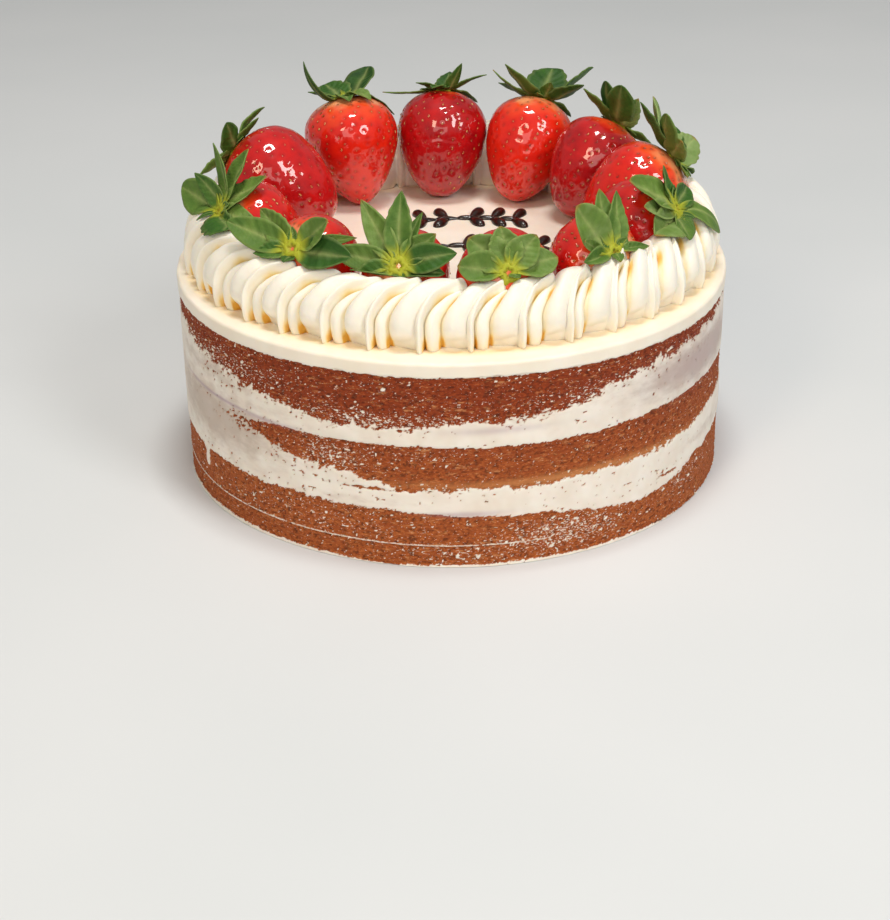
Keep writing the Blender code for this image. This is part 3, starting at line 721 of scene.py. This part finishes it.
def shell_relief(column, share):
    """One shell of the border: a fat lobe, the ridge along its edge and a slim lobe that opens
    under the ridge below the crest. Gives the place across the shell, how far out the cream
    stands there, and how deep in a fold that is."""
    opening = smoothstep(0.44, 0.62, share)
    low = smoothstep(0.66, 0.92, share)
    ridge_end = 0.97 - 0.29 * opening
    fat_end = ridge_end * (0.78 - 0.02 * opening)
    zone = (column >= FAT_COLUMNS).astype(int) + (column >= RIDGE_COLUMNS)
    first = np.array((0, FAT_COLUMNS, RIDGE_COLUMNS))[zone]
    count = np.array((FAT_COLUMNS, RIDGE_COLUMNS - FAT_COLUMNS, SHELL_COLUMNS - RIDGE_COLUMNS))[zone]
    inner = (column - first) / count
    start = np.choose(zone, (0.0 * share, fat_end, ridge_end))
    end = np.choose(zone, (fat_end, ridge_end, 1.0 + 0.0 * share))
    crevice = 0.80 - 0.20 * opening
    groove = 0.93 - 0.09 * opening - 0.10 * low
    left = np.choose(zone, (crevice, groove, crevice))
    right = np.choose(zone, (groove, crevice, crevice))
    blunt = 1.0 - 0.36 * smoothstep(0.84, 1.0, share)
    top = np.choose(zone, (blunt, 1.01 - 0.02 * opening + 0.05 * low, 0.77 + 0.11 * low))
    power = np.array((1.9, 1.5, 1.5))[zone]
    round_over = np.sqrt(np.clip(1.0 - np.abs(2.0 * inner - 1.0) ** power, 0.0, 1.0))
    base = left + (right - left) * smoothstep(0.0, 1.0, inner)
    fold = (1.0 - round_over) * np.choose(zone, (inner < 0.5, inner > 0.5, inner > -1.0))
    return start + (end - start) * inner, base + (np.maximum(top, base) - base) * round_over, fold * opening


def border_middle(turn):
    """How far from the cake's middle the border's section lies."""
    return BORDER_OUTER - BORDER_SHIFT * np.cos(turn) - BORDER_HALF_WIDTH + BORDER_BELLY


def border_height(turn):
    return BORDER_HEIGHT - BORDER_HEIGHT_RISE * np.cos(turn)


def way_out(turn):
    """The level direction from the cake's middle at each turn."""
    return np.stack((np.sin(turn), -np.cos(turn), np.zeros(len(turn))), 1)


def sweep(share):
    """How far a shell's ridges swing back between the crest and the outer foot."""
    fall = SHELL_SWEEP - (SHELL_SWEEP + SHELL_TRAIL) * smoothstep(0.36, 0.84, share)
    return fall + 0.05 * np.clip(share - 0.8, 0.0, 0.2)


def build_border(material):
    dice = random.Random(7)
    starts = [k + 0.16 * (dice.random() - 0.5) for k in range(SHELLS)]
    starts.append(starts[0] + SHELLS)
    sizes = [0.95 + 0.10 * dice.random() for _ in range(SHELLS)]
    builder = bmesh.new()
    bmesh.ops.create_grid(builder, x_segments=SHELLS * SHELL_COLUMNS, y_segments=SECTION_ROWS, size=0.5)
    mesh = mesh_from(builder, "piped_border")
    grid = points_of(mesh)
    step = np.rint((grid[:, 0] + 0.5) * SHELLS * SHELL_COLUMNS).astype(int)
    share = (grid[:, 1] + 0.5) * SECTION_END
    unit = np.minimum(step // SHELL_COLUMNS, SHELLS - 1)
    column = step - unit * SHELL_COLUMNS
    starts, sizes = np.array(starts), np.array(sizes + sizes[:1])
    position, lobe, fold = shell_relief(np.minimum(column, SHELL_COLUMNS - 1e-6), share)
    turn = starts[unit] + position * (starts[unit + 1] - starts[unit]) + sweep(share)
    turn = turn * 2.0 * math.pi / SHELLS
    outwards, middle, height = way_out(turn), border_middle(turn), border_height(turn)
    lobe = lobe * (sizes[unit] + (sizes[unit + 1] - sizes[unit]) * smoothstep(0.8, 1.0, position))
    angle = np.radians(SECTION_ANGLES[0] + (SECTION_ANGLES[1] - SECTION_ANGLES[0]) * share)
    peak = PEAK_RISE * np.exp(-((np.degrees(turn) - PEAK_TURN) / PEAK_WIDTH) ** 2)
    oval = np.where(np.sin(angle) > 0.0, OVAL_ABOVE * (1.0 + peak), OVAL_BELOW)
    z = COAT_TOP + OVAL_MIDDLE * height + oval * height * np.sin(angle) * lobe
    reach = middle + BORDER_HALF_WIDTH * np.cos(angle) * lobe
    reach -= 0.65 * np.maximum(reach - BORDER_LIMIT, 0.0)
    surface = outwards * reach[:, None] + np.maximum(z, BORDER_FOOT)[:, None] * np.array((0, 0, 1))
    surface += outwards * (0.09 * MM * grain(surface, 2.5 * MM, 3))[:, None]
    surface[:, 2] += 0.45 * MM * grain(surface, 9.0 * MM, 2) * np.sin(np.clip(angle, 0, math.pi))
    core = outwards * (middle + CORE_OUT)[:, None] + np.array((0, 0, COAT_TOP + CORE_UP))
    surface, pressed = press(surface, core)
    surface[:, 2] = np.maximum(surface[:, 2], BORDER_FOOT)
    mesh.vertices.foreach_set("co", surface.ravel())
    # Painted shade: an amber amount for the shells' folds, the mouths under the ridges and the foot by the
    # coat, halved where the berries press the cream in.
    foot = 1.0 - smoothstep(0.5 * MM, 6.0 * MM, surface[:, 2] - COAT_TOP)
    mouth_shade = smoothstep(0.50, 0.58, share) - smoothstep(0.60, 0.72, share)
    fold_shade = smoothstep(0.18, 0.60, fold) * (0.38 + 0.9 * foot + 0.45 * mouth_shade) + 0.14 * foot
    store(mesh, "crevice", np.clip(fold_shade * (1.0 - 0.5 * pressed), 0.0, 1.0))
    piece("piped_cream_border", close_ring(mesh), material, ("cream_border",))


def press(points, core):
    """Draw the border's points towards its core until they clear every strawberry."""
    share = np.ones(len(points))
    hidden = np.zeros(len(points))
    for berry in BERRIES:
        middle = np.array(berry.origin + berry.axis * berry.length * 0.5)
        near = np.flatnonzero(np.linalg.norm(points - middle, axis=1) < berry.length)
        while len(near):
            place = core[near] + (points[near] - core[near]) * share[near, None]
            near = near[(berry.depth(place)[0] > -PRESS_CLEARANCE) & (share[near] > PRESS_LEAST)]
            share[near] -= PRESS_STEP
            hidden[near] = 1.0
    return core + (points - core) * share[:, None], hidden


def close_ring(mesh):
    """Join the two ends of the border and close its underside."""
    builder = bmesh.new()
    builder.from_mesh(mesh)
    bmesh.ops.remove_doubles(builder, verts=builder.verts, dist=0.02 * MM)
    rims = [edge for edge in builder.edges if edge.is_boundary]
    bmesh.ops.bridge_loops(builder, edges=rims)
    bmesh.ops.triangulate(builder, faces=[face for face in builder.faces if len(face.verts) > 4])
    bmesh.ops.recalc_face_normals(builder, faces=builder.faces)
    builder.to_mesh(mesh)
    builder.free()
    return mesh


# The strawberries

def seed_places(berry):
    """Spots spread evenly over the skin in the spiral order of a real fruit."""
    lengths = np.hypot(np.diff(berry.outline[0]), np.diff(berry.outline[1]))
    areas = np.concatenate(([0.0], np.cumsum(lengths * (berry.outline[1][1:] + berry.outline[1][:-1]))))
    dice = random.Random(berry.name)
    places = []
    for k in range(SEEDS_PER_BERRY):
        share = 0.012 + 0.945 * (k + 0.5) / SEEDS_PER_BERRY
        along = float(np.interp(share * areas[-1], areas, berry.outline[0]))
        radius = float(np.interp(along, *berry.outline))
        turn = k * GOLDEN_ANGLE + 0.25 * dice.random()
        side = berry.right * math.sin(turn) + berry.up * math.cos(turn)
        ahead = float(np.interp(along + 0.5 * MM, *berry.outline))
        slope = (berry.axis * 0.5 * MM + side * (ahead - radius)).normalized()
        lump = 1.0 + 0.015 * math.sin(2.0 * turn + math.radians(berry.facing))
        places.append((berry.origin + berry.axis * along + side * radius * lump, slope, side))
    return places


def seeds_at(places):
    """One seed copied to each place, long side down the berry."""
    builder = bmesh.new()
    size = Matrix.Diagonal((SEED_LENGTH * 0.55, SEED_LENGTH, SEED_LENGTH * 0.42, 1.0))
    bmesh.ops.create_uvsphere(builder, u_segments=6, v_segments=4, radius=0.5, matrix=size)
    while len(builder.verts) < len(places) * SEED_VERTS:
        bmesh.ops.duplicate(builder, geom=builder.verts[:] + builder.edges[:] + builder.faces[:])
    builder.verts.index_update()
    for vert in builder.verts:
        place, slope, side = places[vert.index // SEED_VERTS]
        normal = (side - slope * side.dot(slope)).normalized()
        middle = place - normal * (DIMPLE_DEPTH - 0.04 * MM)
        vert.co = middle + slope.cross(normal) * vert.co.x + slope * vert.co.y + normal * vert.co.z
    return mesh_from(builder, "seeds")


def build_berry(berry, skin_material, seed_material):
    builder = bmesh.new()
    bmesh.ops.create_uvsphere(builder, u_segments=BERRY_SEGMENTS, v_segments=BERRY_RINGS, radius=1.0)
    mesh = mesh_from(builder, berry.name)
    ball = points_of(mesh)
    polar = np.arccos(np.clip(-ball[:, 2], -1.0, 1.0))
    turn = np.arctan2(ball[:, 1], ball[:, 0])
    radius = berry.radii(polar)
    radius *= 1.0 + 0.015 * np.sin(2.0 * turn + math.radians(berry.facing)) + 0.01 * np.sin(
        3.0 * turn + math.radians(berry.lean))
    along = berry.length * (1.0 - np.cos(polar)) / 2.0
    side = np.sin(turn)[:, None] * np.array(berry.right) + np.cos(turn)[:, None] * np.array(berry.up)
    points = np.array(berry.origin) + along[:, None] * np.array(berry.axis) + side * radius[:, None]
    places = seed_places(berry)
    tree = kdtree.KDTree(len(places))
    for k, (place, _, _) in enumerate(places):
        tree.insert(place, k)
    tree.balance()
    near = np.array([tree.find(point)[2] for point in points])
    dimple = np.exp(-(near / DIMPLE_RADIUS) ** 2)
    normal = side * np.sin(polar)[:, None] - np.cos(polar)[:, None] * np.array(berry.axis)
    swell = 0.22 * MM * grain(points, 9.0 * MM, 2) - DIMPLE_DEPTH * dimple
    points += normal * swell[:, None]
    points[:, 2] = np.maximum(points[:, 2], COAT_TOP + 0.05 * MM)
    mesh.vertices.foreach_set("co", points.ravel())
    reach = 1.0 - (berry.length - along) / berry.length / max(berry.pale, 0.01)
    store(mesh, "shoulder", np.clip(reach + 0.25 * grain(points, 11.0 * MM, 2), 0.0, 1.2))
    store(mesh, "dark", np.full(len(points), berry.dark - 0.5))
    # The dimple number darkens the skin in the pits: painted shade.
    store(mesh, "dimple", dimple * 0.35)
    piece("berry_" + berry.name, mesh, skin_material, ("strawberry_" + berry.name,))
    piece("seeds_" + berry.name, seeds_at(places), seed_material)


# The leaves

def clear_of_food(points):
    """Move leaf points out of the berries, the border and the coat."""
    for _ in range(4):
        for berry in BERRIES:
            depth, away = berry.depth(points)
            points = points + away * np.clip(depth + LEAF_CLEARANCE, 0.0, None)[:, None]
        turn = np.arctan2(points[:, 0], -points[:, 1])
        outwards, height = way_out(turn), border_height(turn)
        level = (COAT_TOP + OVAL_MIDDLE * height)[:, None] * np.array((0, 0, 1))
        centre = outwards * border_middle(turn)[:, None] + level
        offset = points - centre
        wide = BORDER_HALF_WIDTH * 1.02 + LEAF_CLEARANCE
        tall = height * 0.72 + LEAF_CLEARANCE
        measure = np.hypot((offset * outwards).sum(1) / wide, offset[:, 2] / tall)
        inside = (measure < 1.0) & (offset[:, 2] > -0.3 * height)
        points = np.where(inside[:, None], centre + offset / np.maximum(measure, 0.05)[:, None], points)
    low, high = (np.array(corner) for corner in CAD_BOX)
    return np.clip(points, low + 0.5 * MM, high - 0.5 * MM)


def blade(builder, berry, leaf, layers, dice):
    """One leaf: a grid bent along its length, cupped across and creased along its rib."""
    clock, length, width, lift, curl, tone = leaf
    steps, lanes = LEAF_STEPS
    verts = bmesh.ops.create_grid(builder, x_segments=steps, y_segments=lanes, size=0.5)["verts"]
    clock, lift, curl = math.radians(clock), math.radians(lift), math.radians(curl)
    outwards = berry.up * math.cos(clock) + berry.right * math.sin(clock)
    across = outwards.cross(berry.axis)
    oval_share = min(1.0, max(0.0, (width - 8.5) / 5.0))
    twist = dice.uniform(-0.25, 0.25)
    sway = dice.uniform(-0.12, 0.12)
    teeth = dice.choice((0.0, 0.0, 0.10)) if width > 6 else 0.0
    spine = [Vector((LEAF_ROOT, 0.35 * MM, 0.0))]
    for k in range(steps):
        share = (k + 0.5) / steps
        slope = lift * min(1.0, share * 3.0) + curl * (share - 0.25) * 1.6
        reach = (length * MM - LEAF_ROOT) / steps
        spine.append(spine[-1] + Vector((math.cos(slope), math.sin(slope), 0.0)) * reach)
    points, numbers = [], []
    for vert in verts:
        share = vert.co.x + 0.5
        lane = vert.co.y * 2.0
        pointed = math.sin(math.pi * min(1.0, max(0.0, share)) ** 0.72)
        oval = math.sin(math.pi * min(1.0, max(0.0, share)) ** 0.9)
        full = max(0.0, pointed) ** 0.85 * (1.0 - oval_share) + max(0.0, oval) ** 0.6 * oval_share
        half = width * MM / 2.0 * max(full, 0.42 * (1.0 - share * 2.4), 0.012)
        half *= 1.0 + teeth * (1.0 - 2.0 * abs((share * 6.0) % 1.0 - 0.35)) * (abs(lane) > 0.7)
        k = min(steps - 1, int(share * steps))
        middle = spine[k].lerp(spine[k + 1], share * steps - k)
        cup = (0.34 * abs(lane) ** 1.6 + 0.05 * math.sin(share * 14.0 + lane * 2.0)) * half
        veins = math.cos((share * 7.0 - abs(lane) * 1.1) * 2.0 * math.pi)
        tilt = twist * share * lane * half
        rise = middle.y + cup + tilt + 0.05 * MM * veins * full
        aside = lane * half + sway * length * MM * share * share
        points.append(berry.hub + outwards * middle.x + berry.axis * rise + across * aside)
        rib = math.exp(-(lane / 0.16) ** 2) + 0.5 * max(0.0, abs(lane) - 0.8) * 5.0
        tip = max(0.0, share - 0.93) * 10.0
        # The first number is the leaf's tone of painted light and shade.
        numbers.append((0.25 + 0.42 * tone, rib * (0.55 - share * 0.275), max(0.0, 1.0 - share * 3.2),
                        tip * (tone > 0.1), 0.5 + 0.5 * veins - 0.6 * rib))
    points = clear_of_food(np.array(points))
    for vert, point, values in zip(verts, points, numbers):
        vert.co = point
        for layer, value in zip(layers, values):
            vert[layer] = value


def crown(builder, berry, layers):
    """The ring of the leaf roots round the hollow that the stalk left."""
    verts = [builder.verts.new((radius * MM, 0.0, height * MM)) for radius, height in CROWN]
    edges = [builder.edges.new(pair) for pair in zip(verts, verts[1:])]
    bmesh.ops.spin(builder, geom=verts + edges, cent=(0, 0, 0), axis=(0, 0, 1), dvec=(0, 0, 0),
                   angle=2.0 * math.pi, steps=CROWN_STEPS, use_merge=True, use_duplicate=False)
    bmesh.ops.remove_doubles(builder, verts=builder.verts, dist=MERGE)
    place = Matrix((berry.right, berry.up, berry.axis)).transposed().to_4x4()
    place.translation = berry.hub
    for vert in builder.verts:
        turn = math.atan2(vert.co.y, vert.co.x)
        radius = vert.co.xy.length
        wave = 1.0 + 0.16 * math.sin(5.0 * turn + berry.facing) + 0.08 * math.sin(9.0 * turn)
        hollow = max(0.0, 1.0 - radius / (1.7 * MM))
        for layer, value in zip(layers, (0.35, 0.0, 1.0, hollow * 0.9, 0.5)):
            vert[layer] = value
        vert.co.x *= wave
        vert.co.y *= wave
        vert.co = place @ vert.co


def build_leaves(berry, material):
    """The star of leaves, with a second row of small ones between and under the first."""
    dice = random.Random(berry.name)
    builder = bmesh.new()
    names = ("tone", "rib", "root", "brown", "vein")
    for name in names:
        builder.verts.layers.float.new(name)
    layers = [builder.verts.layers.float[name] for name in names]
    crown(builder, berry, layers)
    for leaf in berry.leaves:
        blade(builder, berry, leaf, layers, dice)
    clocks = sorted(leaf[0] for leaf in berry.leaves)
    for clock, after in zip(clocks, clocks[1:] + [clocks[0] + 360]):
        if after - clock > 38:
            small = (clock + (after - clock) * dice.uniform(0.4, 0.6), dice.uniform(7, 10),
                     dice.uniform(3.5, 5.0), dice.uniform(-4, 14), dice.uniform(-10, 10),
                     dice.uniform(-0.5, 0.2))
            blade(builder, berry, small, layers, dice)
    bmesh.ops.recalc_face_normals(builder, faces=builder.faces)
    mesh = mesh_from(builder, "leaves")
    item = piece("calyx_" + berry.name, mesh, material, ("leaves_" + berry.name,))
    skin = item.modifiers.new("thickness", "SOLIDIFY")
    skin.thickness = LEAF_THICKNESS
    skin.offset = 0.0


# The chocolate ornament

def teardrop(builder, place, heading, length, width, height):
    """A piped drop: a fat round start drawn out to a point."""
    turn = Matrix.Rotation(heading, 3, "Z")
    for vert in bmesh.ops.create_icosphere(builder, subdivisions=3, radius=0.5)["verts"]:
        share = vert.co.x + 0.5
        narrow = 1.15 - 0.75 * share ** 1.5
        point = Vector((vert.co.x * length, vert.co.y * width * narrow, vert.co.z * 2.0 * height * narrow))
        vert.co = place + turn @ point


def build_ornament(material):
    builder = bmesh.new()
    for mid_x, mid_y, half, pairs in SPRAYS:
        for k in range(pairs):
            share = (2.0 * k + 1.0) / pairs - 1.0
            place = Vector((mid_x * MM + half * MM * share, mid_y * MM - SPRAY_ARCH * share ** 2, COAT_TOP))
            slope = math.atan2(-2.0 * SPRAY_ARCH * share, half * MM)
            teardrop(builder, place, slope, 2.6 * half * MM / pairs, STEM_WIDTH, STEM_HEIGHT)
            for side in (-1.0, 1.0):
                heading = side * DROP_ANGLE if share >= 0.0 else math.pi - side * DROP_ANGLE
                reach = Vector((math.cos(heading), math.sin(heading), 0.0)) * DROP_LENGTH * 0.5
                teardrop(builder, place + reach, heading + math.pi, DROP_LENGTH, DROP_WIDTH, DROP_HEIGHT)
    mesh = mesh_from(builder, "chocolate_ornament")
    item = piece("chocolate_ornament", mesh, material)
    remesh = item.modifiers.new("one body", "REMESH")
    remesh.mode = "VOXEL"
    remesh.voxel_size = 0.28 * MM
    remesh.use_smooth_shade = True
    smooth = item.modifiers.new("smooth", "SMOOTH")
    smooth.factor = 0.6
    smooth.iterations = 6


# The studio

def build_floor(material):
    builder = bmesh.new()
    bmesh.ops.create_grid(builder, x_segments=1, y_segments=1, size=3.0)
    bmesh.ops.translate(builder, verts=builder.verts, vec=(0.0, 0.0, -0.2 * MM))
    mesh = mesh_from(builder, "floor")
    mesh.materials.append(material)
    floor = bpy.data.objects.new("floor", mesh)
    bpy.context.scene.collection.objects.link(floor)


def soft_light(name, place, size, power, colour):
    light = bpy.data.lights.new(name, "AREA")
    light.shape = "RECTANGLE"
    light.size, light.size_y = size
    light.energy = power
    light.color = linear(colour)[:3]
    item = bpy.data.objects.new(name, light)
    item.location = place
    item.rotation_euler = (LIT_POINT - Vector(place)).to_track_quat("-Z", "Y").to_euler()
    bpy.context.scene.collection.objects.link(item)


def build_studio(floor_material):
    build_floor(floor_material)
    for name, settings in LIGHTS.items():
        soft_light(name, *settings)
    world = bpy.data.worlds.new("studio")
    world.use_nodes = True
    background = world.node_tree.nodes["Background"]
    background.inputs["Color"].default_value = linear("#ECEBE8")
    background.inputs["Strength"].default_value = 0.30
    bpy.context.scene.world = world
    bpy.context.scene.view_settings.view_transform = "Standard"


def build_camera():
    """The photograph's view: about 26 degrees down on the cake from the front."""
    camera = bpy.data.cameras.new("camera")
    camera.sensor_width = 36.0
    camera.lens = CAMERA_LENS
    item = bpy.data.objects.new("camera", camera)
    item.matrix_world = (Matrix.Translation(CAMERA_PLACE) @ Matrix.Rotation(CAMERA_YAW, 4, "Z")
                         @ Matrix.Rotation(math.pi / 2 - CAMERA_PITCH, 4, "X")
                         @ Matrix.Rotation(-CAMERA_ROLL, 4, "Z"))
    bpy.context.scene.collection.objects.link(item)
    bpy.context.scene.camera = item


build_layers(scraped_side_finish())
build_top_coat(smoothed_cream_finish())
build_border(piped_cream_finish())
skin, seed, leaf_green = berry_finish(), seed_finish(), leaf_finish()
for strawberry in BERRIES:
    build_berry(strawberry, skin, seed)
    build_leaves(strawberry, leaf_green)
build_ornament(chocolate_finish())
build_studio(floor_finish())
build_camera()
